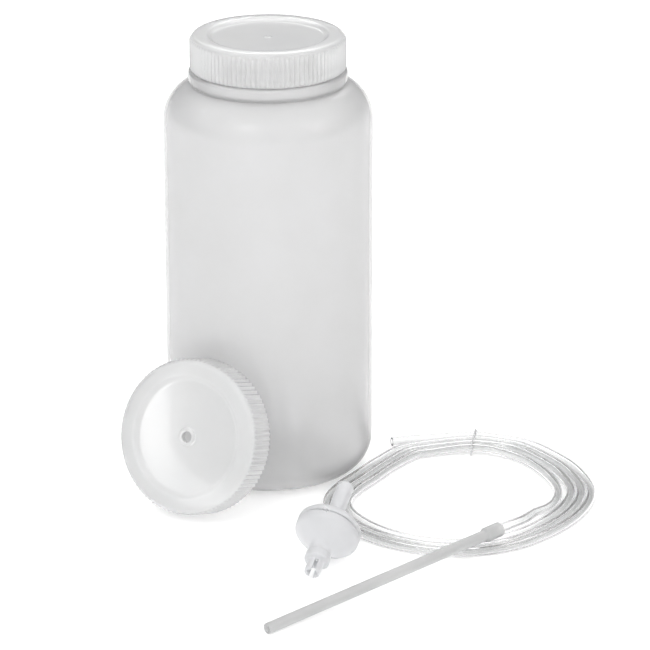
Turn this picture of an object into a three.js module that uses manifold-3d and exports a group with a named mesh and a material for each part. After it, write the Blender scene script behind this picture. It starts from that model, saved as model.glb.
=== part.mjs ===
// Laboratory wash bottle kit: a litre bottle with its closure, and the dispensing set laid out
// beside it (a second closure with a tube hole, a tied coil of clear tubing, a check valve that
// serves as the foot of the dip tube, and a rigid dispensing wand).
// Millimetres, +Z up. The origin is the middle of the bottle's base, on the surface it stands on.

import * as THREE from 'three';
import * as BufferGeometryUtils from 'three/addons/utils/BufferGeometryUtils.js';
import Module from 'manifold-3d';

const wasm = await Module();
wasm.setup();

// Driving dimensions ---------------------------------------------------------------------------

const SEGMENTS = 48;                // facets round the bottle and the closures
const GAP = 0.3;                    // running gap between neighbouring pieces
const BOTTLE_R = 45.7;              // body radius
const WALL = 1.4;                   // blown wall
const BASE_THICKNESS = 2.2;
const BASE_CORNER_R = 15;
const SHOULDER_Z = 162.5;           // where the straight side ends
const SHOULDER_R = 17;
const SHOULDER_TURN = 66;           // degrees of shoulder arc before the neck
const BEAD_R = 34.7;                // transfer bead under the closure
const BEAD_LOW_Z = 179.2;
const BEAD_HIGH_Z = 184.6;
const NECK_R = 29.9;                // thread root of the neck
const NECK_BORE_R = 27.5;
const LIP_Z = 195.4;

const THREAD_PITCH = 4.233;         // six turns to the inch
const THREAD_CREST_R = 31.2;
const THREAD_ROOT_WIDTH = 2.0;
const THREAD_CREST_WIDTH = 0.8;
const NECK_THREAD_Z = 187.3;
const NECK_THREAD_START = 0.5 / SEGMENTS;      // turns; half a facet clears the neck's edges
const NECK_THREAD_TURNS = 1.5;
const CAP_THREAD_Z = 187.3;
const CAP_THREAD_TURNS = 1.375;

const CAP_Z = 185;                  // rim of the closure when it is screwed down
const CAP_HEIGHT = 15.3;
const CAP_R = 34;                   // over the ribs
const CAP_ROOT_R = 33.4;            // between the ribs
const CAP_BORE_R = 31.8;
const CAP_RIBS = 96;
const CAP_RIB_HEIGHT = 12.3;
const CAP_DISH_R = 24.6;
const CAP_DISH_DEPTH = 1.6;
const CAP_CEILING = 12;             // underside of the top, above the rim
const CAP_THREAD_CREST_R = 30.4;
const LINER_R = 31.1;
const LINER_THICKNESS = 0.9;

const TUBE_HOLE_R = 2.4;            // hole through the second closure
const TUBE_BOSS_R = 4.2;
const LEAN_AZIMUTH = 31;            // degrees from -Y towards -X that the second closure faces
const LEAN_BACK = 18;               // degrees that it leans back against the bottle

const TUBE_R = 2.0;                 // flexible tubing, outside
const COIL_PITCH = 4.6;             // from one turn to the next
const COIL_TURNS = 3;               // whole turns in the coil solid
const END_FLARE = 4.5;              // the cut end springs this far away from the bundle
const END_FLARE_TURNS = 0.12;
const TIE_X = 92.5;
const TIE_GAUGE = 0.6;

const WAND_LENGTH = 131.5;
const WAND_R = 2.4;
const WAND_BORE_R = 1.5;
const SOCKET_R = 3.2;
const SOCKET_BORE_R = 2.35;
const SOCKET_LENGTH = 8.5;
const WAND_TIP = new THREE.Vector3(-1.7, -182.8, 2.45);
const WAND_SOCKET = new THREE.Vector3(97.6, -96.9, 8.5);

const VALVE_LENGTH = 49.4;
const VALVE_DISC_R = 13.9;
const VALVE_SEAM = 23.8;            // plane where the two halves are welded, from the slotted tip
const VALVE_TIP_R = 3.45;
const VALVE_HUB_R = 3.6;
const VALVE_CHAMBER_R = 10.5;
const VALVE_TILT = 26.4;            // degrees that its axis rises towards the hub end
const VALVE_AZIMUTH = 20;           // degrees from +Y towards +X that the hub end points
const VALVE_TIP = new THREE.Vector3(17.1, -129.8, 3.22);
const SLOT_WIDTH = 1.5;
const SLOT_DEPTH = 5.4;
const DIAPHRAGM_R = 9.4;
const DIAPHRAGM_THICKNESS = 0.8;

// Closed centreline that the outermost turn of tubing follows, clockwise from the cut end. It is
// flattened where it passes under the rounded corner of the bottle's base.
const COIL_OUTLINE = [
  [58, 15], [84.8, 22.8], [103.6, 22], [117.1, 16.6], [130.2, 0.5], [138.8, -17], [143.1, -40],
  [139.6, -58], [128.5, -79], [105.8, -101.2], [81, -108.6], [55.5, -102.8], [34.5, -86],
  [22.2, -64], [21.7, -46], [27, -31.3], [34.9, -18.1], [44.1, -2.6],
];

// Inner turn that leaves the coil, crosses under the tie and rises into the wand's socket.
const LEAD_ROUTE = [
  [66.5, 3.75, 2.05], [70.5, 5.3, 2.05], [75.5, 6.6, 2.2], [81, 7.6, 2.7], [86.5, 8.3, 3.1],
  [92.5, 8.4, 3.2], [98.5, 7.5, 3.0], [104.3, 5.2, 2.5], [109.4, 1.7, 2.1], [114, -3.1, 2.05],
  [117.9, -9.3, 2.05], [121.3, -16.6, 2.05], [124.1, -24.4, 2.05], [126, -32.5, 2.05],
  [126.7, -40.5, 2.05], [125.8, -48.2, 2.05], [123.4, -55.2, 2.15], [120.1, -61.6, 2.9],
  [116.8, -67.6, 4.4], [114.1, -73.3, 5.9], [111.6, -79.2, 7.0], [108.4, -85.2, 7.9],
];
const LEAD_IN_SOCKET = 6;           // length of tubing pushed into the socket
const LEAD_STRAIGHT = 6;            // straight length just outside the socket
const LEAD_STEPS = 78;

// Materials ------------------------------------------------------------------------------------

function plastic(colour, roughness, opacity = 1) {
  return new THREE.MeshStandardMaterial({
    color: colour, roughness, metalness: 0, opacity, transparent: opacity < 1,
  });
}

const bottlePlastic = plastic(0xe4e6e6, 0.35, 0.85);
const closurePlastic = plastic(0xeeeeee, 0.4, 0.9);
const linerFoam = plastic(0xf4f4f0, 0.8);
const clearVinyl = plastic(0xe9edee, 0.08, 0.4);
const wandPlastic = plastic(0xd6d7d7, 0.4, 0.85);
const valvePlastic = plastic(0xe6e8ea, 0.4, 0.9);
const diaphragmRubber = plastic(0xdcdcd6, 0.6);
const tiePlastic = plastic(0xcfd2d4, 0.4, 0.8);

// Geometry helpers -----------------------------------------------------------------------------

const rad = THREE.MathUtils.degToRad;

// Turns a closed three.js geometry into a solid that can be joined and cut.
function solid(geometry) {
  const bare = geometry.clone();
  bare.deleteAttribute('normal');
  bare.deleteAttribute('uv');
  const merged = BufferGeometryUtils.mergeVertices(bare, 1e-4);
  return new wasm.Manifold(new wasm.Mesh({
    numProp: 3,
    vertProperties: new Float32Array(merged.attributes.position.array),
    triVerts: new Uint32Array(merged.index.array),
  }));
}

function geometryOf(manifold) {
  const mesh = manifold.getMesh();
  const geometry = new THREE.BufferGeometry();
  geometry.setAttribute('position', new THREE.BufferAttribute(mesh.vertProperties, 3));
  geometry.setIndex(new THREE.BufferAttribute(mesh.triVerts, 1));
  geometry.computeVertexNormals();
  return geometry;
}

// Solid of revolution about +Z. The profile is [radius, height] pairs.
function lathe(profile, segments) {
  const points = profile.map(([r, z]) => new THREE.Vector2(r, z));
  const turned = new THREE.LatheGeometry(points, segments);
  turned.rotateX(Math.PI / 2);
  return turned;
}

// Points of an arc in a profile, angles in degrees from the outward direction.
function arc(centreR, centreZ, radius, from, to, steps) {
  return Array.from({ length: steps + 1 }, (_, i) => {
    const angle = rad(from + (to - from) * i / steps);
    return [centreR + radius * Math.cos(angle), centreZ + radius * Math.sin(angle)];
  });
}

// A helical thread ridge: a straight bar of trapezium section, bent round the axis.
function threadRidge(rootR, crestR, startZ, startTurn, turns) {
  const half = THREAD_ROOT_WIDTH / 2;
  const crestHalf = THREAD_CREST_WIDTH / 2;
  const section = new THREE.Shape([
    new THREE.Vector2(rootR, -half), new THREE.Vector2(crestR, -crestHalf),
    new THREE.Vector2(crestR, crestHalf), new THREE.Vector2(rootR, half),
  ]);
  const ridge = new THREE.ExtrudeGeometry(section, {
    depth: turns, steps: Math.round(turns * SEGMENTS), bevelEnabled: false,
  });
  const position = ridge.attributes.position;
  for (let i = 0; i < position.count; i += 1) {
    const radius = position.getX(i);
    const along = turns - position.getZ(i);     // runs backwards, which keeps the faces outwards
    const height = startZ + position.getY(i) + along * THREAD_PITCH;
    const angle = 2 * Math.PI * (startTurn + along);
    position.setXYZ(i, radius * Math.cos(angle), radius * Math.sin(angle), height);
  }
  return ridge;
}

function tubeAlong(points, radius, sides, steps) {
  const ring = Array.from({ length: sides }, (_, i) => {
    const angle = 2 * Math.PI * i / sides;
    return new THREE.Vector2(radius * Math.cos(angle), radius * Math.sin(angle));
  });
  const path = new THREE.CatmullRomCurve3(points, false, 'centripetal');
  return new THREE.ExtrudeGeometry(new THREE.Shape(ring), { steps, extrudePath: path });
}

function piece(name, geometry, material) {
  const mesh = new THREE.Mesh(geometry, material);
  mesh.name = name;
  return mesh;
}

// Bottle ---------------------------------------------------------------------------------------

function bottleGeometry() {
  const cornerR = BOTTLE_R - BASE_CORNER_R;
  const shoulderR = BOTTLE_R - SHOULDER_R;
  const profile = [
    [0, 0],
    ...arc(cornerR, BASE_CORNER_R, BASE_CORNER_R, -90, 0, 6),
    ...arc(shoulderR, SHOULDER_Z, SHOULDER_R, 0, SHOULDER_TURN, 5),
    [BEAD_R - 1, BEAD_LOW_Z - 0.5], [BEAD_R - 1, BEAD_LOW_Z],
    [BEAD_R, BEAD_LOW_Z + 1], [BEAD_R, BEAD_HIGH_Z - 1], [BEAD_R - 0.5, BEAD_HIGH_Z - 0.1],
    [NECK_R, BEAD_HIGH_Z], [NECK_R, LIP_Z - 0.5], [NECK_R - 0.5, LIP_Z],
    [NECK_BORE_R + 0.5, LIP_Z], [NECK_BORE_R, LIP_Z - 0.5], [NECK_BORE_R, SHOULDER_Z + SHOULDER_R],
    ...arc(shoulderR, SHOULDER_Z, SHOULDER_R - WALL, 90, 0, 4),
    ...arc(cornerR, BASE_CORNER_R + BASE_THICKNESS - WALL, BASE_CORNER_R - WALL, 0, -90, 4),
    [0, BASE_THICKNESS],
  ];
  const blown = solid(lathe(profile, SEGMENTS));
  const thread = threadRidge(NECK_R - 0.3, THREAD_CREST_R, NECK_THREAD_Z, NECK_THREAD_START,
    NECK_THREAD_TURNS);
  return geometryOf(blown.add(solid(thread)));
}

// Closures, built with the rim at z = 0 and the top facing +Z -----------------------------------

function closureGeometry(withHole) {
  const topZ = CAP_HEIGHT;
  const dishZ = topZ - CAP_DISH_DEPTH;
  const outside = [
    [CAP_BORE_R, 0], [CAP_ROOT_R, 0], [CAP_ROOT_R, CAP_RIB_HEIGHT], [CAP_ROOT_R - 0.8, topZ - 1.3],
    [CAP_ROOT_R - 2, topZ - 0.3], [CAP_ROOT_R - 3, topZ], [CAP_DISH_R + 2, topZ], [CAP_DISH_R, dishZ],
  ];
  const inside = [[CAP_BORE_R - 0.5, CAP_CEILING], [CAP_BORE_R, CAP_CEILING - 0.5]];
  const middle = withHole
    ? [[TUBE_BOSS_R, dishZ], [TUBE_BOSS_R - 0.3, dishZ + 0.8], [TUBE_HOLE_R + 0.3, dishZ + 0.8],
      [TUBE_HOLE_R, dishZ + 0.5], [TUBE_HOLE_R, CAP_CEILING]]
    : [[1.6, dishZ], [1.3, dishZ + 0.4], [0, dishZ + 0.4], [0, CAP_CEILING]];
  const loop = [...middle, ...inside, ...outside];
  const profile = withHole ? [...loop, middle[0]] : [[0, CAP_CEILING], ...inside, ...outside,
    ...middle.slice(0, 3)];
  const shell = solid(lathe(profile, SEGMENTS));

  const star = Array.from({ length: CAP_RIBS * 2 }, (_, i) => {
    const angle = Math.PI * i / CAP_RIBS;
    const radius = i % 2 ? CAP_ROOT_R : CAP_R;
    return new THREE.Vector2(radius * Math.cos(angle), radius * Math.sin(angle));
  });
  const ribShape = new THREE.Shape(star);
  ribShape.holes.push(new THREE.Path().absarc(0, 0, CAP_ROOT_R - 0.7, 0, 2 * Math.PI, true));
  const ribs = solid(new THREE.ExtrudeGeometry(ribShape, {
    depth: CAP_RIB_HEIGHT, bevelEnabled: false, curveSegments: SEGMENTS,
  }));

  const threadZ = CAP_THREAD_Z - CAP_Z;
  const thread = threadRidge(CAP_BORE_R + 0.3, CAP_THREAD_CREST_R, threadZ,
    NECK_THREAD_START + 0.5, CAP_THREAD_TURNS);
  return geometryOf(shell.add(ribs).add(solid(thread)));
}

// Tubing ---------------------------------------------------------------------------------------

const coilCurve = new THREE.CatmullRomCurve3(
  COIL_OUTLINE.map(([x, y]) => new THREE.Vector3(x, y, 0)), true, 'centripetal');

// Point of the spiral after a number of turns, set off from the centreline towards the inside.
function spiralPoint(turns, inset) {
  const along = THREE.MathUtils.euclideanModulo(turns, 1);
  const point = coilCurve.getPointAt(along);
  const tangent = coilCurve.getTangentAt(along);
  const flare = END_FLARE * Math.max(0, 1 - turns / END_FLARE_TURNS) ** 2;
  const distance = COIL_PITCH * turns - flare + inset;
  return new THREE.Vector2(point.x + tangent.y * distance, point.y - tangent.x * distance);
}

// One closed solid of the coil's outer shape, with the tubing's cut end as a step in its outside.
function coilGeometry() {
  const steps = 72;
  const turnOf = (first, last) => Array.from({ length: steps + 1 }, (_, i) => (
    Math.min(first + (last - first) * i / steps, last - 1e-4)));
  const outer = turnOf(0, 1).map((t) => spiralPoint(t, -TUBE_R));
  const inner = turnOf(COIL_TURNS - 1, COIL_TURNS).map((t) => spiralPoint(t, TUBE_R));
  const shape = new THREE.Shape(outer.reverse());
  shape.holes.push(new THREE.Path(inner));
  const ring = solid(new THREE.ExtrudeGeometry(shape, { depth: 2 * TUBE_R, bevelEnabled: false }));
  const notchDepth = 2 * GAP + TIE_GAUGE;
  const notch = new THREE.BoxGeometry(4 * TIE_GAUGE, 40, 2 * notchDepth);
  notch.translate(TIE_X, 15, 0);
  return geometryOf(ring.subtract(solid(notch)));
}

function leadGeometry() {
  const route = LEAD_ROUTE.map(([x, y, z]) => new THREE.Vector3(x, y, z));
  const inward = WAND_TIP.clone().sub(WAND_SOCKET).normalize();
  route.push(WAND_SOCKET.clone().addScaledVector(inward, -LEAD_STRAIGHT));
  route.push(WAND_SOCKET.clone());
  route.push(WAND_SOCKET.clone().addScaledVector(inward, LEAD_IN_SOCKET));
  return tubeAlong(route, TUBE_R, 8, LEAD_STEPS);
}

// Band drawn round the bundle where all four runs lie side by side.
function tieGeometry() {
  const low = 4.9;
  const high = 25.8;
  const top = 6.2;
  const floor = 0.05;
  const outline = (grow) => [
    [low - grow, floor + TIE_GAUGE - grow], [high + grow, floor + TIE_GAUGE - grow],
    [high + grow, top - 1.2], [high - 1.4, top - TIE_GAUGE + grow],
    [low + 1.4, top - TIE_GAUGE + grow], [low - grow, top - 1.2],
  ].map(([y, z]) => new THREE.Vector2(y, z));
  const shape = new THREE.Shape(outline(TIE_GAUGE));
  shape.holes.push(new THREE.Path(outline(0).reverse()));
  const band = new THREE.ExtrudeGeometry(shape, { depth: TIE_GAUGE, bevelEnabled: false });
  band.applyMatrix4(new THREE.Matrix4().makeBasis(
    new THREE.Vector3(0, 1, 0), new THREE.Vector3(0, 0, 1), new THREE.Vector3(1, 0, 0)));
  band.translate(TIE_X - TIE_GAUGE / 2, 0, 0);
  return band;
}

// Wand, built with the tip at z = 0 --------------------------------------------------------------

function wandGeometry() {
  const length = WAND_LENGTH;
  const shoulder = length - SOCKET_LENGTH;
  const profile = [
    [WAND_BORE_R, 0], [WAND_R - 0.3, 0], [WAND_R, 0.3], [WAND_R, shoulder - 1], [SOCKET_R, shoulder],
    [SOCKET_R, length - 0.3], [SOCKET_R - 0.3, length], [SOCKET_BORE_R, length],
    [SOCKET_BORE_R, shoulder + 0.5], [WAND_BORE_R, shoulder - 0.5], [WAND_BORE_R, 0],
  ];
  return lathe(profile, 24);
}

// Check valve, built with the slotted tip at z = 0 ------------------------------------------------

// Heights in the valve's profiles are measured from the seam, where the two halves are welded.
function fromSeam(profile) {
  return profile.map(([r, z]) => [r, VALVE_SEAM + z]);
}

function valveInletGeometry() {
  const profile = fromSeam([
    [2.2, -VALVE_SEAM], [VALVE_TIP_R - 0.3, -VALVE_SEAM], [VALVE_TIP_R, 0.3 - VALVE_SEAM],
    [VALVE_TIP_R, -17.7], [5.2, -17.3], [5.45, -16.8], [5.45, -13.8], [5, -13.2], [5.3, -11.4],
    [7, -9.2], [9.6, -7.1], [12, -5.2], [VALVE_DISC_R - 0.7, -4], [VALVE_DISC_R, -2.8],
    [VALVE_DISC_R, -GAP / 2], [VALVE_CHAMBER_R, -GAP / 2], [VALVE_CHAMBER_R, -1.5], [2.4, -2.3],
    [1.6, -2.9], [1.6, -17], [2.2, -17.7], [2.2, -VALVE_SEAM],
  ]);
  const body = solid(lathe(profile, 32));
  const slot = new THREE.BoxGeometry(SLOT_WIDTH, 20, 2 * SLOT_DEPTH);
  return geometryOf(body.subtract(solid(slot)));
}

function valveOutletGeometry() {
  const end = VALVE_LENGTH - VALVE_SEAM;
  const profile = fromSeam([
    [VALVE_CHAMBER_R, GAP / 2], [VALVE_DISC_R, GAP / 2], [VALVE_DISC_R, 2.2],
    [VALVE_DISC_R - 0.7, 3.2], [12, 4.4], [9.4, 6], [6.6, 7.8], [4.7, 9.6], [VALVE_HUB_R, 12.1],
    [VALVE_HUB_R, end - 0.3], [VALVE_HUB_R - 0.3, end], [2.1, end], [2.1, 4.7],
    [VALVE_CHAMBER_R, 1.9], [VALVE_CHAMBER_R, GAP / 2],
  ]);
  return lathe(profile, 32);
}

function diaphragmGeometry() {
  const low = -1.15;
  const high = low + DIAPHRAGM_THICKNESS;
  return lathe(fromSeam([[0, low], [DIAPHRAGM_R, low], [DIAPHRAGM_R, high], [0, high]]), 24);
}

// Assembly -------------------------------------------------------------------------------------

const UP = new THREE.Vector3(0, 0, 1);
const group = new THREE.Group();

group.add(piece('bottle', bottleGeometry(), bottlePlastic));

const closure = piece('closure', closureGeometry(false), closurePlastic);
closure.position.z = CAP_Z;
group.add(closure);

const linerZ = LIP_Z + GAP + 0.1;
const liner = piece('closure_liner', lathe([[0, linerZ], [LINER_R, linerZ],
  [LINER_R, linerZ + LINER_THICKNESS], [0, linerZ + LINER_THICKNESS]], SEGMENTS), linerFoam);
group.add(liner);

// The second closure stands on the edge of its rim and leans on the bottle.
const lean = rad(LEAN_BACK);
const facing = rad(LEAN_AZIMUTH);
const rimReach = BOTTLE_R + GAP + 2 * CAP_R * Math.sin(lean);
const tubeClosure = piece('tube_closure', closureGeometry(true), closurePlastic);
tubeClosure.quaternion.setFromUnitVectors(UP, new THREE.Vector3(
  -Math.cos(lean) * Math.sin(facing), -Math.cos(lean) * Math.cos(facing), Math.sin(lean)));
tubeClosure.position.set(
  -(rimReach - CAP_R * Math.sin(lean)) * Math.sin(facing),
  -(rimReach - CAP_R * Math.sin(lean)) * Math.cos(facing),
  CAP_R * Math.cos(lean) + 0.05);
group.add(tubeClosure);

group.add(piece('tubing_coil', coilGeometry(), clearVinyl));
group.add(piece('tubing_lead', leadGeometry(), clearVinyl));
group.add(piece('coil_tie', tieGeometry(), tiePlastic));

const wand = piece('wand', wandGeometry(), wandPlastic);
wand.quaternion.setFromUnitVectors(UP, WAND_SOCKET.clone().sub(WAND_TIP).normalize());
wand.position.copy(WAND_TIP);
group.add(wand);

const valve = new THREE.Group();
valve.add(piece('valve_inlet_body', valveInletGeometry(), valvePlastic));
valve.add(piece('valve_outlet_body', valveOutletGeometry(), valvePlastic));
valve.add(piece('valve_diaphragm', diaphragmGeometry(), diaphragmRubber));
const tilt = rad(VALVE_TILT);
const heading = rad(VALVE_AZIMUTH);
valve.quaternion.setFromUnitVectors(UP, new THREE.Vector3(
  Math.cos(tilt) * Math.sin(heading), Math.cos(tilt) * Math.cos(heading), Math.sin(tilt)));
valve.position.copy(VALVE_TIP);
group.add(valve);

export default group;
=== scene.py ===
"""Looks of a laboratory wash bottle kit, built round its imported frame.

A translucent litre bottle with its closure stands behind the dispensing set: a second closure with
a tube hole, a tied coil of clear tubing, a check valve with a slotted foot, and a rigid wand.
Profiles and routes are written in millimetres and scaled to metres where a mesh is made.
"""

import math

import bmesh
import bpy
import numpy as np
from mathutils import Matrix, Vector


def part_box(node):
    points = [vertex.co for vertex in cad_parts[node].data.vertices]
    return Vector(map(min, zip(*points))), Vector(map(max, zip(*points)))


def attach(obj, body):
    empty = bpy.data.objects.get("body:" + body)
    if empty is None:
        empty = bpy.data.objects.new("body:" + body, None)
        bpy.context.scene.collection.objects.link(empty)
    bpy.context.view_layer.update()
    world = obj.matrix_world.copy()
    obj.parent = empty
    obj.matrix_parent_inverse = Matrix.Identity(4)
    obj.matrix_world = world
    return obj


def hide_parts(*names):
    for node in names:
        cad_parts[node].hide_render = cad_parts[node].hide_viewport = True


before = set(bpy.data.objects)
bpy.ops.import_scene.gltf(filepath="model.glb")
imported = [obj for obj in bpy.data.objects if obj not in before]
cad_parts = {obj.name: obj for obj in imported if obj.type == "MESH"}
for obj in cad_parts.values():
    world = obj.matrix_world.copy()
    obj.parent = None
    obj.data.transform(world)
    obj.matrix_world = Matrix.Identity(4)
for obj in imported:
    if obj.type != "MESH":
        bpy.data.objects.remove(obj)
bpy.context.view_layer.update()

MM = 0.001
UP = Vector((0, 0, 1))


# Driving dimensions, in millimetres, from the frame where it holds them ------------------------

def box_mm(node):
    low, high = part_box(node)
    return low / MM, high / MM


BOTTLE_R = box_mm("bottle")[1].x
LIP_Z = box_mm("bottle")[1].z
CLOSURE_Z = box_mm("closure")[0].z
CAP_R = box_mm("closure")[1].x              # over the ribs
LINER_LOW, LINER_HIGH = box_mm("closure_liner")

WALL = 1.4
BASE_THICKNESS = 2.2
BASE_CORNER_R = 15.0
SHOULDER_Z = 162.5
SHOULDER_R = 17.0
SHOULDER_TURN = 66                          # degrees of shoulder arc before the neck
BEAD_R = 34.7
BEAD_LOW_Z = 179.2
BEAD_HIGH_Z = 184.6
NECK_R = 29.9
NECK_BORE_R = 27.5

THREAD_PITCH = 4.233
THREAD_ROOT_HALF = 1.0
THREAD_CREST_HALF = 0.4
THREAD_Z = 187.3
THREAD_START = 0.5 / 48                     # turns
THREAD_RUN_OUT = 0.05                       # turns over which each end of a thread fades
NECK_THREAD_TURNS = 1.5
NECK_THREAD_CREST = 31.2
CAP_THREAD_TURNS = 1.375
CAP_THREAD_CREST = 30.4

CAP_HEIGHT = 15.3
CAP_ROOT_R = 33.25                          # between the ribs
CAP_BORE_R = 31.8
CAP_CEILING = 12.0
CAP_RIBS = 96
CAP_RIB_HEIGHT = 13.7                       # above the rim
CAP_DISH_R = 24.6
CAP_DISH_DEPTH = 1.6
TUBE_HOLE_R = 2.4
TUBE_BOSS_R = 4.2
LEAN_AZIMUTH = 31                           # degrees from -Y towards -X that closure 2 faces
LEAN_BACK = 18                              # degrees that it leans back against the bottle
LEAN_GAP = 0.3

TUBE_R = 2.0
TUBE_BORE_R = 1.2
COIL_PITCH = 4.6
COIL_TURNS = 3
END_FLARE = 4.5
END_FLARE_TURNS = 0.12
END_BEVEL = 0.12
TIE_X = 92.5
TIE_SLANT = 0.16                            # sideways per millimetre towards the back
TIE_GAUGE = 0.6
TIE_LIFT = 1.0                              # the bundle rides this high over the tie
TIE_LIFT_REACH = 14.0

WAND_LENGTH = 131.5
WAND_R = 2.4
WAND_BORE_R = 1.5
SOCKET_R = 3.2
SOCKET_BORE_R = 2.35
SOCKET_LENGTH = 8.5
WAND_TIP = Vector((-1.7, -182.8, 2.45))
WAND_SOCKET = Vector((97.6, -96.9, 8.5))

VALVE_LENGTH = 49.4
VALVE_SEAM = 23.8                           # from the slotted tip to the weld plane
VALVE_DISC_R = 13.9
VALVE_TIP_R = 3.45
VALVE_HUB_R = 3.6
VALVE_CHAMBER_R = 10.5
VALVE_TILT = 26.4
VALVE_AZIMUTH = 20
VALVE_TIP = Vector((17.1, -129.8, 3.22))
SLOT_WIDTH = 1.5
SLOT_DEPTH = 5.4
SEAM_GAP = 0.15
DIAPHRAGM_R = 9.4
DIAPHRAGM_THICKNESS = 0.8

# Closed centreline of the outermost turn of tubing, clockwise from the cut end.
COIL_OUTLINE = [
    (58, 15), (84.8, 22.8), (103.6, 22), (117.1, 16.6), (130.2, 0.5), (138.8, -17), (143.1, -40),
    (139.6, -58), (128.5, -79), (105.8, -101.2), (81, -108.6), (55.5, -102.8), (34.5, -86),
    (22.2, -64), (21.7, -46), (27, -31.3), (34.9, -18.1), (44.1, -2.6),
]

# Inner turn that leaves the coil, crosses under the tie and rises into the wand's socket.
LEAD_ROUTE = [
    (66.5, 3.75, 2.05), (70.5, 5.3, 2.05), (75.5, 6.6, 2.2), (81, 7.6, 2.7), (86.5, 8.3, 3.1),
    (92.5, 8.4, 3.2), (98.5, 7.5, 3.0), (104.3, 5.2, 2.5), (109.4, 1.7, 2.1), (114, -3.1, 2.05),
    (117.9, -9.3, 2.05), (121.3, -16.6, 2.05), (124.1, -24.4, 2.05), (126, -32.5, 2.05),
    (126.7, -40.5, 2.05), (125.8, -48.2, 2.05), (123.4, -55.2, 2.15), (120.1, -61.6, 2.9),
    (116.8, -67.6, 4.4), (114.1, -73.3, 5.9), (111.6, -79.2, 7.0), (108.4, -85.2, 7.9),
]
LEAD_IN_SOCKET = 6.0
LEAD_STRAIGHT = 6.0


# Camera ----------------------------------------------------------------------------------------

CAMERA_PLACE = (0, -1.540, 0.634)            # metres
CAMERA_PITCH = 20.25                        # degrees down
CAMERA_YAW = 0.92                           # degrees towards +X
CAMERA_LENS = 204.4                         # millimetres on a 36 mm sensor


def make_camera():
    pitch = math.radians(CAMERA_PITCH)
    yaw = math.radians(CAMERA_YAW)
    forward = Vector((math.sin(yaw) * math.cos(pitch), math.cos(yaw) * math.cos(pitch),
                      -math.sin(pitch)))
    data = bpy.data.cameras.new("camera")
    data.sensor_width = 36
    data.lens = CAMERA_LENS
    data.clip_end = 60
    camera = bpy.data.objects.new("camera", data)
    camera.location = CAMERA_PLACE
    camera.rotation_euler = forward.to_track_quat("-Z", "Y").to_euler()
    bpy.context.scene.collection.objects.link(camera)
    bpy.context.scene.camera = camera


make_camera()


# Mesh helpers ----------------------------------------------------------------------------------

def finished(name, vertices, faces, smooth_below=35):
    """A mesh object with its faces pointing out, smooth but for edges sharper than the angle."""
    mesh = bpy.data.meshes.new(name)
    mesh.from_pydata([tuple(v) for v in vertices], [], faces)
    form = bmesh.new()
    form.from_mesh(mesh)
    bmesh.ops.recalc_face_normals(form, faces=form.faces)
    form.to_mesh(mesh)
    form.free()
    mesh.validate()
    mesh.shade_smooth()
    mesh.set_sharp_from_angle(angle=math.radians(smooth_below))
    piece = bpy.data.objects.new(name, mesh)
    bpy.context.scene.collection.objects.link(piece)
    return piece


def arc(centre_r, centre_z, radius, start, end, steps):
    """Points of an arc in a profile, angles in degrees from the outward direction."""
    angles = [math.radians(start + (end - start) * i / steps) for i in range(steps + 1)]
    return [(centre_r + radius * math.cos(a), centre_z + radius * math.sin(a)) for a in angles]


def rounded(profile, radius, steps=3, closed=False):
    """The profile with a small round on each real corner, as far as its edges leave room."""
    points = [Vector(p) for p in profile]
    count = len(points)
    out = []
    for i, point in enumerate(points):
        before = points[i - 1] - point
        after = points[(i + 1) % count] - point
        at_end = not closed and i in (0, count - 1)
        if at_end or before.length < 1e-6 or after.length < 1e-6 or \
                math.degrees(math.pi - before.angle(after)) < 14:
            out.append(point)
            continue
        first = point + before.normalized() * min(radius, before.length * 0.45)
        last = point + after.normalized() * min(radius, after.length * 0.45)
        for k in range(steps + 1):
            t = k / steps
            out.append(first * (1 - t) ** 2 + point * 2 * t * (1 - t) + last * t ** 2)
    return [(p.x, p.y) for p in out]


def ruled(start, end, step):
    """Points along a straight stretch of a profile, evenly spaced about a step apart."""
    start, end = Vector(start), Vector(end)
    count = max(1, round((end - start).length / step))
    return [tuple(start.lerp(end, i / count)) for i in range(count + 1)]


def revolve(name, profile, segments, closed=False, reshape=None):
    """Solid of revolution about +Z from (radius, height) points in millimetres.

    An open profile starts and ends on the axis. reshape(turns, radius, height) takes arrays and
    gives the radius back, so that ribs and threads are part of one skin.
    """
    radius, height = np.array(profile, float).T
    turns = np.arange(segments) / segments
    grid_turns, grid_radius = np.meshgrid(turns, radius)
    grid_height = np.repeat(height[:, None], segments, axis=1)
    if reshape:
        grid_radius = reshape(grid_turns, grid_radius, grid_height)
    angle = 2 * math.pi * grid_turns
    grid = np.stack([grid_radius * np.cos(angle), grid_radius * np.sin(angle), grid_height], -1)
    vertices = []
    rows = []
    for i, row in enumerate(grid):
        if radius[i] < 1e-6:
            rows.append([len(vertices)] * segments)
            vertices.append(row[0])
        else:
            rows.append(list(range(len(vertices), len(vertices) + segments)))
            vertices.extend(row)
    faces = []
    pairs = zip(rows, rows[1:] + rows[:1]) if closed else zip(rows, rows[1:])
    for low, high in pairs:
        for k in range(segments):
            n = (k + 1) % segments
            face = [low[k], low[n], high[n], high[k]]
            faces.append(list(dict.fromkeys(face)))
    return finished(name, np.array(vertices) * MM, faces)


def place(piece, position, direction=UP):
    """Puts a piece made about +Z at a point in millimetres, turned the shortest way to an axis."""
    turn = UP.rotation_difference(direction).to_matrix().to_4x4()
    piece.data.transform(Matrix.Translation(Vector(position) * MM) @ turn)
    return piece


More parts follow.
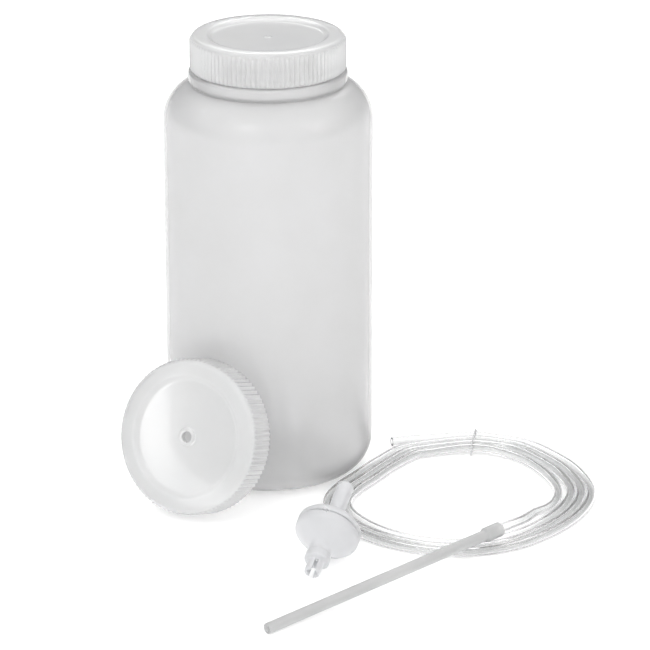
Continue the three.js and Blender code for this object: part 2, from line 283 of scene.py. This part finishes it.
def sweep(name, path, reference, outer, bore=None, sides=24, loop=False):
    """A round bar, or a pipe with a bore, along points in millimetres.

    outer is a radius for each point. The section is set out from a reference direction that the
    path never runs along.
    """
    path = np.array(path, float)
    if loop:
        tangent = np.roll(path, -1, axis=0) - np.roll(path, 1, axis=0)
    else:
        tangent = np.gradient(path, axis=0)
    tangent /= np.linalg.norm(tangent, axis=1)[:, None]
    side = np.cross(tangent, np.array(reference, float))
    side /= np.linalg.norm(side, axis=1)[:, None]
    rise = np.cross(side, tangent)

    def rings(radii, count):
        angle = 2 * math.pi * np.arange(count) / count
        return (path[:, None] + radii[:, None, None] * (
            np.cos(angle)[None, :, None] * side[:, None] +
            np.sin(angle)[None, :, None] * rise[:, None]))

    skin = rings(np.array(outer, float), sides)
    if bore is not None:
        skin = np.concatenate([skin, rings(np.array(bore, float), sides)[::-1]])
        loop = True
    count = len(skin)
    faces = []
    for i in range(count if loop else count - 1):
        j = (i + 1) % count
        for k in range(sides):
            n = (k + 1) % sides
            faces.append([i * sides + k, i * sides + n, j * sides + n, j * sides + k])
    if not loop:
        faces += [list(range(sides)), list(range((count - 1) * sides, count * sides))]
    return finished(name, skin.reshape(-1, 3) * MM, faces)


# Curves ----------------------------------------------------------------------------------------

def centripetal(points, closed, per_span):
    """Points of a centripetal Catmull-Rom curve through the given ones."""
    points = [Vector(p) for p in points]
    count = len(points)
    out = []
    for i in range(count if closed else count - 1):
        p1, p2 = points[i], points[(i + 1) % count]
        p0 = points[i - 1] if closed or i else p1 * 2 - p2
        p3 = points[(i + 2) % count] if closed or i + 2 < count else p2 * 2 - p1
        gap = [max((b - a).length ** 0.5, 1e-4) for a, b in ((p0, p1), (p1, p2), (p2, p3))]
        leave = ((p1 - p0) / gap[0] - (p2 - p0) / (gap[0] + gap[1]) + (p2 - p1) / gap[1]) * gap[1]
        reach = ((p2 - p1) / gap[1] - (p3 - p1) / (gap[1] + gap[2]) + (p3 - p2) / gap[2]) * gap[1]
        for k in range(per_span):
            t = k / per_span
            out.append(p1 * (2 * t ** 3 - 3 * t ** 2 + 1) + leave * (t ** 3 - 2 * t ** 2 + t) +
                       p2 * (3 * t ** 2 - 2 * t ** 3) + reach * (t ** 3 - t ** 2))
    if not closed:
        out.append(points[-1])
    return np.array(out)


def evenly(points, step):
    """The line again, with its points a step apart."""
    points = np.array(points, float)
    along = np.concatenate([[0], np.cumsum(np.linalg.norm(np.diff(points, axis=0), axis=1))])
    at = np.linspace(0, along[-1], max(2, round(along[-1] / step) + 1))
    return np.stack([np.interp(at, along, points[:, k]) for k in range(3)], axis=1)


# Tubing, tie -----------------------------------------------------------------------------------

def coil_line(per_turn=60):
    """Centreline of the coiled turns, from the cut end inwards, one pitch further in each turn.

    The last two points are left off, so that the lead takes over smoothly.
    """
    outline = centripetal([(x, y, 0) for x, y in COIL_OUTLINE], True, 120)
    outline = np.concatenate([outline, outline[:1]])
    spacing = 0.25
    either_way = 12                         # points that the direction is taken over
    around = evenly(outline, spacing)[:-1]
    tangent = np.roll(around, -either_way, axis=0) - np.roll(around, either_way, axis=0)
    tangent /= np.linalg.norm(tangent, axis=1)[:, None]
    out = []
    for i in range(COIL_TURNS * per_turn - 2):
        turns = i / per_turn
        k = int(turns % 1 * len(around))
        flare = END_FLARE * max(0, 1 - turns / END_FLARE_TURNS) ** 2
        inset = COIL_PITCH * turns - flare
        x = around[k, 0] + tangent[k, 1] * inset
        y = around[k, 1] - tangent[k, 0] * inset
        near_tie = math.exp(-((x - TIE_X) / TIE_LIFT_REACH) ** 2) if y > 0 else 0
        out.append((x, y, TUBE_R + 0.05 + TIE_LIFT * near_tie))
    return out


def tubing():
    inward = (WAND_TIP - WAND_SOCKET).normalized()
    socket = [WAND_SOCKET + inward * reach for reach in (-LEAD_STRAIGHT, 0, LEAD_IN_SOCKET)]
    route = coil_line() + LEAD_ROUTE + [tuple(p) for p in socket]
    line = evenly(centripetal(route, False, 20), 1.3)
    near_start = line[0] * 0.9 + line[1] * 0.1
    near_end = line[-1] * 0.9 + line[-2] * 0.1
    line = np.concatenate([line[:1], [near_start], line[1:-1], [near_end], line[-1:]])
    outer = np.full(len(line), TUBE_R)
    bore = np.full(len(line), TUBE_BORE_R)
    outer[[0, -1]] -= END_BEVEL
    bore[[0, -1]] += END_BEVEL
    piece = sweep("clear_tubing", line, UP, outer, bore, sides=28)
    return piece, line * MM


def tie():
    """Thin tie drawn round the bundle, with a small bead at its front and at its back."""
    low, high = 4.9, 25.8
    top, floor = 6.2, 0.05
    half = TIE_GAUGE / 2
    corners = [
        (low - half, floor + half), (high + half, floor + half), (high + half, top - 1.6),
        (high - 1.6, top - half), (low + 1.6, top - half), (low - half, top - 1.6),
    ]
    outline = rounded(corners, 1.5, steps=6, closed=True)
    middle = (low + high) / 2

    def slanted(y, z):
        return (TIE_X + TIE_SLANT * (y - middle), y, z)

    path = evenly([slanted(y, z) for y, z in outline + outline[:1]], 0.22)[:-1]
    radius = np.full(len(path), half * 0.85)
    for y in (low - half, high + half):
        away = np.linalg.norm(path - np.array(slanted(y, top - 2.2)), axis=1)
        radius += 0.42 * np.exp(-(away / 0.55) ** 4)
    return sweep("tie_cord", path, (1, 0, 0), radius, sides=16, loop=True)


# Bottle and closures ---------------------------------------------------------------------------

def thread_share(turns, height, start_z, start_turn, length):
    """How far the thread's ridge stands at each place, from 0 at its root to 1 at its crest."""
    share = np.zeros_like(turns)
    for lap in range(2):
        along = (turns - start_turn) % 1 + lap
        offset = np.abs(height - start_z - along * THREAD_PITCH)
        flank = (THREAD_ROOT_HALF - offset) / (THREAD_ROOT_HALF - THREAD_CREST_HALF)
        fade = np.minimum(along, length - along) / THREAD_RUN_OUT
        here = np.clip(flank, 0, 1) * np.clip(fade, 0, 1)
        share = np.maximum(share, here * here * (3 - 2 * here))
    return share


def bottle():
    corner_r = BOTTLE_R - BASE_CORNER_R
    shoulder_r = BOTTLE_R - SHOULDER_R
    inside_r = NECK_BORE_R
    base = [(0, 0), (corner_r * 0.5, 0)]
    outside = arc(corner_r, BASE_CORNER_R, BASE_CORNER_R, -90, 0, 22) + \
        arc(shoulder_r, SHOULDER_Z, SHOULDER_R, 0, SHOULDER_TURN, 20)
    bead = rounded([outside[-1], (BEAD_R - 1, BEAD_LOW_Z - 0.5), (BEAD_R - 1, BEAD_LOW_Z),
                    (BEAD_R, BEAD_LOW_Z + 1), (BEAD_R, BEAD_HIGH_Z - 1),
                    (BEAD_R - 0.5, BEAD_HIGH_Z - 0.1), (NECK_R, BEAD_HIGH_Z),
                    (NECK_R, BEAD_HIGH_Z + 0.5)], 0.7)[1:]
    neck = ruled((NECK_R, BEAD_HIGH_Z + 0.6), (NECK_R, LIP_Z - 0.6), 0.28)
    lip = rounded([(NECK_R, LIP_Z - 0.5), (NECK_R - 0.5, LIP_Z), (inside_r + 0.5, LIP_Z),
                   (inside_r, LIP_Z - 0.5)], 0.3)
    inner_neck = rounded([(inside_r, LIP_Z - 1), (inside_r, SHOULDER_Z + SHOULDER_R + 0.2),
                          (shoulder_r, SHOULDER_Z + SHOULDER_R - WALL)], 0.8)
    inner = arc(shoulder_r, SHOULDER_Z, SHOULDER_R - WALL, 88, 0, 24) + \
        arc(corner_r, BASE_CORNER_R + BASE_THICKNESS - WALL, BASE_CORNER_R - WALL, 0, -90, 22) + \
        [(corner_r * 0.5, BASE_THICKNESS), (0, BASE_THICKNESS)]

    def threaded(turns, radius, height):
        on_neck = (np.abs(radius - NECK_R) < 1e-3) & (height > BEAD_HIGH_Z + 0.4)
        ridge = thread_share(turns, height, THREAD_Z, THREAD_START, NECK_THREAD_TURNS)
        return radius + on_neck * ridge * (NECK_THREAD_CREST - NECK_R)

    profile = base + outside + bead + neck + lip + inner_neck + inner
    return revolve("bottle_shell", profile, 256, reshape=threaded)


def closure_mesh(name, with_hole):
    """A ribbed screw closure with its rim at z = 0 and its dished top facing +Z."""
    dish_z = CAP_HEIGHT - CAP_DISH_DEPTH
    rim = rounded([(CAP_BORE_R, 0.8), (CAP_BORE_R + 0.1, 0), (CAP_ROOT_R, 0),
                   (CAP_ROOT_R, 0.8)], 0.25)
    skirt = ruled((CAP_ROOT_R, 0.9), (CAP_ROOT_R, CAP_RIB_HEIGHT + 0.2), 0.45)
    top = rounded([
        (CAP_ROOT_R, CAP_RIB_HEIGHT + 0.3), (CAP_ROOT_R - 0.3, CAP_HEIGHT - 0.8),
        (CAP_ROOT_R - 1.1, CAP_HEIGHT - 0.2), (CAP_ROOT_R - 2.2, CAP_HEIGHT),
        (CAP_DISH_R + 2, CAP_HEIGHT), (CAP_DISH_R + 0.6, dish_z + 0.5),
        (CAP_DISH_R - 0.4, dish_z), (CAP_DISH_R - 2, dish_z),
    ], 0.8, steps=4)
    ceiling = rounded([(CAP_BORE_R - 3, CAP_CEILING), (CAP_BORE_R - 0.5, CAP_CEILING),
                       (CAP_BORE_R, CAP_CEILING - 0.5), (CAP_BORE_R, CAP_CEILING - 1)], 0.3)
    bore = ruled((CAP_BORE_R, CAP_CEILING - 1.1), (CAP_BORE_R, 0.9), 0.32)
    floor = [(r, dish_z) for r in (18, 12, 7)]
    roof = [(r, CAP_CEILING) for r in (7, 12, 18, 24)]
    if with_hole:
        middle = rounded([
            (TUBE_BOSS_R + 1, dish_z), (TUBE_BOSS_R, dish_z), (TUBE_BOSS_R - 0.3, dish_z + 0.8),
            (TUBE_HOLE_R + 0.3, dish_z + 0.8), (TUBE_HOLE_R, dish_z + 0.5),
            (TUBE_HOLE_R, CAP_CEILING), (TUBE_HOLE_R + 1.5, CAP_CEILING),
        ], 0.25)
    else:
        middle = rounded([(2.6, dish_z), (1.6, dish_z), (1.3, dish_z + 0.4), (0.6, dish_z + 0.4),
                          (0, dish_z + 0.3)], 0.2) + [(0, CAP_CEILING), (3, CAP_CEILING)]

    def ribbed(turns, radius, height):
        wave = 0.5 + 0.5 * np.cos(2 * math.pi * CAP_RIBS * turns)
        ends = np.minimum((height - 0.1) / 0.7, (CAP_RIB_HEIGHT + 0.1 - height) / 0.5)
        outside = (radius > CAP_ROOT_R - 1e-3) * np.clip(ends, 0, 1)
        inside = (np.abs(radius - CAP_BORE_R) < 1e-3) & (height > 0.5)
        ridge = thread_share(turns, height, THREAD_Z - CLOSURE_Z, THREAD_START + 0.5,
                             CAP_THREAD_TURNS)
        return radius + outside * wave * (CAP_R - CAP_ROOT_R) + \
            inside * ridge * (CAP_THREAD_CREST - CAP_BORE_R)

    profile = rim + skirt + top + floor + middle + roof + ceiling + bore
    if not with_hole:
        split = profile.index((0, CAP_CEILING))
        profile = profile[split:] + profile[:split]
    return revolve(name, profile, CAP_RIBS * 6, closed=with_hole, reshape=ribbed)


def closure():
    return place(closure_mesh("closure_shell", False), (0, 0, CLOSURE_Z))


def tube_closure():
    lean = math.radians(LEAN_BACK)
    facing = math.radians(LEAN_AZIMUTH)
    reach = BOTTLE_R + LEAN_GAP + CAP_R * math.sin(lean)        # its rim just clears the bottle
    axis = Vector((-math.cos(lean) * math.sin(facing), -math.cos(lean) * math.cos(facing),
                   math.sin(lean)))
    centre = (-reach * math.sin(facing), -reach * math.cos(facing), CAP_R * math.cos(lean) + 0.05)
    return place(closure_mesh("tube_closure_shell", True), centre, axis)


def liner():
    low, high, radius = LINER_LOW.z, LINER_HIGH.z, LINER_HIGH.x
    profile = rounded([(0, low), (radius, low), (radius, high), (0, high)], 0.25)
    return revolve("foam_liner", profile, 128)


# Wand and valve --------------------------------------------------------------------------------

def wand():
    shoulder = WAND_LENGTH - SOCKET_LENGTH
    profile = rounded([
        (WAND_BORE_R, 0), (WAND_R - 0.3, 0), (WAND_R, 0.3), (WAND_R, shoulder - 1),
        (SOCKET_R, shoulder), (SOCKET_R, WAND_LENGTH - 0.3), (SOCKET_R - 0.3, WAND_LENGTH),
        (SOCKET_BORE_R, WAND_LENGTH), (SOCKET_BORE_R, shoulder + 0.5),
        (WAND_BORE_R, shoulder - 0.5),
    ], 0.25, closed=True)
    piece = revolve("dispensing_wand", profile, 64, closed=True)
    return place(piece, WAND_TIP, (WAND_SOCKET - WAND_TIP).normalized())


def valve_axis():
    tilt = math.radians(VALVE_TILT)
    heading = math.radians(VALVE_AZIMUTH)
    return Vector((math.cos(tilt) * math.sin(heading), math.cos(tilt) * math.cos(heading),
                   math.sin(tilt)))


def from_seam(profile):
    return [(r, VALVE_SEAM + z) for r, z in profile]


def cut_slot(piece):
    """Saws a slot across the foot of the valve."""
    bpy.ops.mesh.primitive_cube_add(size=1)
    saw = bpy.context.object
    saw.scale = Vector((SLOT_WIDTH, 20, 2 * SLOT_DEPTH)) * MM
    cut = piece.modifiers.new("slot", "BOOLEAN")
    cut.operation = "DIFFERENCE"
    cut.object = saw
    cut.solver = "EXACT"
    graph = bpy.context.evaluated_depsgraph_get()
    mesh = bpy.data.meshes.new_from_object(piece.evaluated_get(graph))
    piece.modifiers.clear()
    piece.data = mesh
    mesh.set_sharp_from_angle(angle=math.radians(35))
    bpy.data.objects.remove(saw)


def valve_inlet():
    profile = from_seam(rounded([
        (2.2, -VALVE_SEAM), (VALVE_TIP_R - 0.3, -VALVE_SEAM), (VALVE_TIP_R, 0.3 - VALVE_SEAM),
        (VALVE_TIP_R, -17.7), (5.2, -17.3), (5.45, -16.8), (5.45, -13.8), (5, -13.2), (5.3, -11.4),
        (7, -9.2), (9.6, -7.1), (12, -5.2), (VALVE_DISC_R - 0.7, -4), (VALVE_DISC_R, -2.8),
        (VALVE_DISC_R, -SEAM_GAP), (VALVE_CHAMBER_R, -SEAM_GAP), (VALVE_CHAMBER_R, -1.5),
        (2.4, -2.3), (1.6, -2.9), (1.6, -17), (2.2, -17.7),
    ], 0.7, steps=4, closed=True))
    piece = revolve("valve_inlet", profile, 96, closed=True)
    cut_slot(piece)
    return place(piece, VALVE_TIP, valve_axis())


def valve_outlet():
    end = VALVE_LENGTH - VALVE_SEAM
    profile = from_seam(rounded([
        (VALVE_CHAMBER_R, SEAM_GAP), (VALVE_DISC_R, SEAM_GAP), (VALVE_DISC_R, 2.2),
        (VALVE_DISC_R - 0.7, 3.2), (12, 4.4), (9.4, 6), (6.6, 7.8), (4.7, 9.6),
        (VALVE_HUB_R, 12.1), (VALVE_HUB_R, end - 0.3), (VALVE_HUB_R - 0.3, end), (2.1, end),
        (2.1, 4.7), (VALVE_CHAMBER_R, 1.9),
    ], 0.7, steps=4, closed=True))
    return place(revolve("valve_outlet", profile, 96, closed=True), VALVE_TIP, valve_axis())


def diaphragm():
    low = -1.15
    high = low + DIAPHRAGM_THICKNESS
    outline = [(0, low), (DIAPHRAGM_R, low), (DIAPHRAGM_R, high), (0, high)]
    profile = from_seam(rounded(outline, 0.2))
    return place(revolve("valve_disc", profile, 96), VALVE_TIP, valve_axis())


# Materials -------------------------------------------------------------------------------------

def moulded(name, tones, roughness, bump, **sockets):
    """A plastic with faint clouding, uneven gloss and a fine moulded texture.

    tones are two colours that the clouding moves between, roughness its least and greatest, and
    bump is (depth in mm, scale per metre). sockets are set on the shader itself.
    """
    material = bpy.data.materials.new(name)
    material.use_nodes = True
    nodes, links = material.node_tree.nodes, material.node_tree.links
    shader = nodes["Principled BSDF"]
    for socket, value in sockets.items():
        shader.inputs[socket.replace("_", " ")].default_value = value
    place_of = nodes.new("ShaderNodeTexCoord")

    def noise(scale, detail):
        cloud = nodes.new("ShaderNodeTexNoise")
        cloud.inputs["Scale"].default_value = scale
        cloud.inputs["Detail"].default_value = detail
        links.new(place_of.outputs["Object"], cloud.inputs["Vector"])
        return cloud.outputs["Fac"]

    ramp = nodes.new("ShaderNodeValToRGB")
    ramp.color_ramp.elements[0].position = 0.3
    ramp.color_ramp.elements[0].color = (*tones[0], 1)
    ramp.color_ramp.elements[1].position = 0.7
    ramp.color_ramp.elements[1].color = (*tones[1], 1)
    links.new(noise(38, 3), ramp.inputs["Fac"])
    links.new(ramp.outputs["Color"], shader.inputs["Base Color"])

    gloss = nodes.new("ShaderNodeMapRange")
    gloss.inputs["To Min"].default_value = roughness[0]
    gloss.inputs["To Max"].default_value = roughness[1]
    links.new(noise(95, 5), gloss.inputs["Value"])
    links.new(gloss.outputs["Result"], shader.inputs["Roughness"])

    texture = nodes.new("ShaderNodeBump")
    texture.inputs["Strength"].default_value = 0.35
    texture.inputs["Distance"].default_value = bump[0] * MM
    links.new(noise(bump[1], 4), texture.inputs["Height"])
    links.new(texture.outputs["Normal"], shader.inputs["Normal"])
    return material


def materials():
    return {
        "bottle_plastic": moulded(
            "bottle_plastic", ((0.88, 0.88, 0.88), (0.91, 0.91, 0.915)), (0.18, 0.26), (0.02, 260),
            Transmission_Weight=0.65, IOR=1.45),
        "closure_plastic": moulded(
            "closure_plastic", ((0.94, 0.945, 0.95), (0.97, 0.97, 0.97)), (0.16, 0.24),
            (0.02, 420), Transmission_Weight=0.55, IOR=1.45),
        "liner_foam": moulded(
            "liner_foam", ((0.86, 0.86, 0.84), (0.92, 0.92, 0.90)), (0.7, 0.9), (0.12, 1400)),
        "clear_tubing": moulded(
            "clear_tubing", ((0.93, 0.935, 0.935), (0.96, 0.96, 0.96)), (0.02, 0.05), (0.002, 180),
            Transmission_Weight=1.0, IOR=1.5),
        "tie_plastic": moulded(
            "tie_plastic", ((0.80, 0.81, 0.82), (0.90, 0.90, 0.91)), (0.2, 0.35), (0.02, 900),
            Transmission_Weight=0.45, IOR=1.45),
        "wand_plastic": moulded(
            "wand_plastic", ((0.72, 0.725, 0.725), (0.79, 0.79, 0.79)), (0.26, 0.38), (0.02, 500),
            Transmission_Weight=0.5, IOR=1.45, Coat_Weight=0.2, Coat_Roughness=0.1),
        "valve_plastic": moulded(
            "valve_plastic", ((0.86, 0.865, 0.88), (0.90, 0.905, 0.92)), (0.24, 0.34), (0.02, 500),
            Transmission_Weight=0.4, IOR=1.45, Coat_Weight=0.2, Coat_Roughness=0.1),
        "diaphragm_rubber": moulded(
            "diaphragm_rubber", ((0.80, 0.80, 0.78), (0.87, 0.87, 0.85)), (0.5, 0.65),
            (0.03, 900)),
    }


# Assembly --------------------------------------------------------------------------------------

looks = materials()


def fit(piece, node_names, body, slot):
    """Dresses a piece, hides the CAD nodes that it stands for and rides it on their body."""
    piece.data.materials.clear()
    piece.data.materials.append(looks[slot])
    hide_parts(*node_names)
    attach(piece, body)
    return piece


tube, tube_path = tubing()
fit(tube, ["tubing_coil", "tubing_lead"], "tubing", "clear_tubing")
bundle_tie = fit(tie(), ["coil_tie"], "tubing", "tie_plastic")

fit(bottle(), ["bottle"], "bottle", "bottle_plastic")
fit(closure(), ["closure"], "closure", "closure_plastic")
fit(liner(), ["closure_liner"], "closure_liner", "liner_foam")
fit(tube_closure(), ["tube_closure"], "tube_closure", "closure_plastic")
fit(wand(), ["wand"], "wand", "wand_plastic")
fit(valve_inlet(), ["valve_inlet_body"], "valve", "valve_plastic")
fit(valve_outlet(), ["valve_outlet_body"], "valve", "valve_plastic")
fit(diaphragm(), ["valve_diaphragm"], "valve_diaphragm", "diaphragm_rubber")


# Studio ----------------------------------------------------------------------------------------

def make_floor():
    size = 12
    mesh = bpy.data.meshes.new("floor")
    mesh.from_pydata([(-size, -size, 0), (size, -size, 0), (size, size, 0), (-size, size, 0)], [],
                     [[0, 1, 2, 3]])
    floor = bpy.data.objects.new("floor", mesh)
    floor.location.z = -0.0001
    bpy.context.scene.collection.objects.link(floor)
    paper = bpy.data.materials.new("floor_paper")
    paper.use_nodes = True
    shader = paper.node_tree.nodes["Principled BSDF"]
    shader.inputs["Base Color"].default_value = (0.86, 0.86, 0.86, 1)
    shader.inputs["Roughness"].default_value = 0.9
    shader.inputs["Specular IOR Level"].default_value = 0.1
    shader.inputs["Emission Color"].default_value = (1, 1, 1, 1)
    shader.inputs["Emission Strength"].default_value = 0.4
    mesh.materials.append(paper)


def make_sky():
    """A sky that is white overhead and dim low at the back, with a dark band between them.

    The dark band gives clear plastic its dark edges.
    """
    world = bpy.data.worlds.new("studio")
    world.use_nodes = True
    nodes, links = world.node_tree.nodes, world.node_tree.links
    place_of = nodes.new("ShaderNodeTexCoord")
    frontness = nodes.new("ShaderNodeVectorMath")
    frontness.operation = "DOT_PRODUCT"
    frontness.inputs[1].default_value = (0, -0.3, 0.95)
    ramp = nodes.new("ShaderNodeValToRGB")
    ramp.color_ramp.elements[0].position = 0.02
    ramp.color_ramp.elements[0].color = (0.3, 0.3, 0.305, 1)
    ramp.color_ramp.elements[1].position = 0.55
    ramp.color_ramp.elements[1].color = (1, 1, 1, 1)
    for position in (0.12, 0.24):
        ramp.color_ramp.elements.new(position).color = (0.05, 0.05, 0.055, 1)
    links.new(place_of.outputs["Generated"], frontness.inputs[0])
    links.new(frontness.outputs["Value"], ramp.inputs["Fac"])
    links.new(ramp.outputs["Color"], nodes["Background"].inputs["Color"])
    nodes["Background"].inputs["Strength"].default_value = 1.2
    bpy.context.scene.world = world


def make_softbox(name, position, target, width, height, power, colour=(1, 1, 1)):
    data = bpy.data.lights.new(name, "AREA")
    data.shape = "RECTANGLE"
    data.size = width
    data.size_y = height
    data.energy = power
    data.color = colour
    light = bpy.data.objects.new(name, data)
    light.location = position
    light.rotation_euler = (Vector(target) - Vector(position)).to_track_quat("-Z", "Y").to_euler()
    bpy.context.scene.collection.objects.link(light)


make_floor()
make_sky()
make_softbox("key_softbox", (-0.6, -1.2, 1.3), (0, 0, 0.08), 0.6, 0.6, 4)
make_softbox("fill_softbox", (1.1, -0.6, 0.8), (0.05, 0, 0.06), 0.4, 0.6, 1.2, (1, 0.95, 0.9))
make_softbox("back_softbox", (0.1, 1.2, 1.0), (0, 0, 0.08), 1.2, 0.5, 4)
bpy.context.scene.view_settings.view_transform = "Standard"
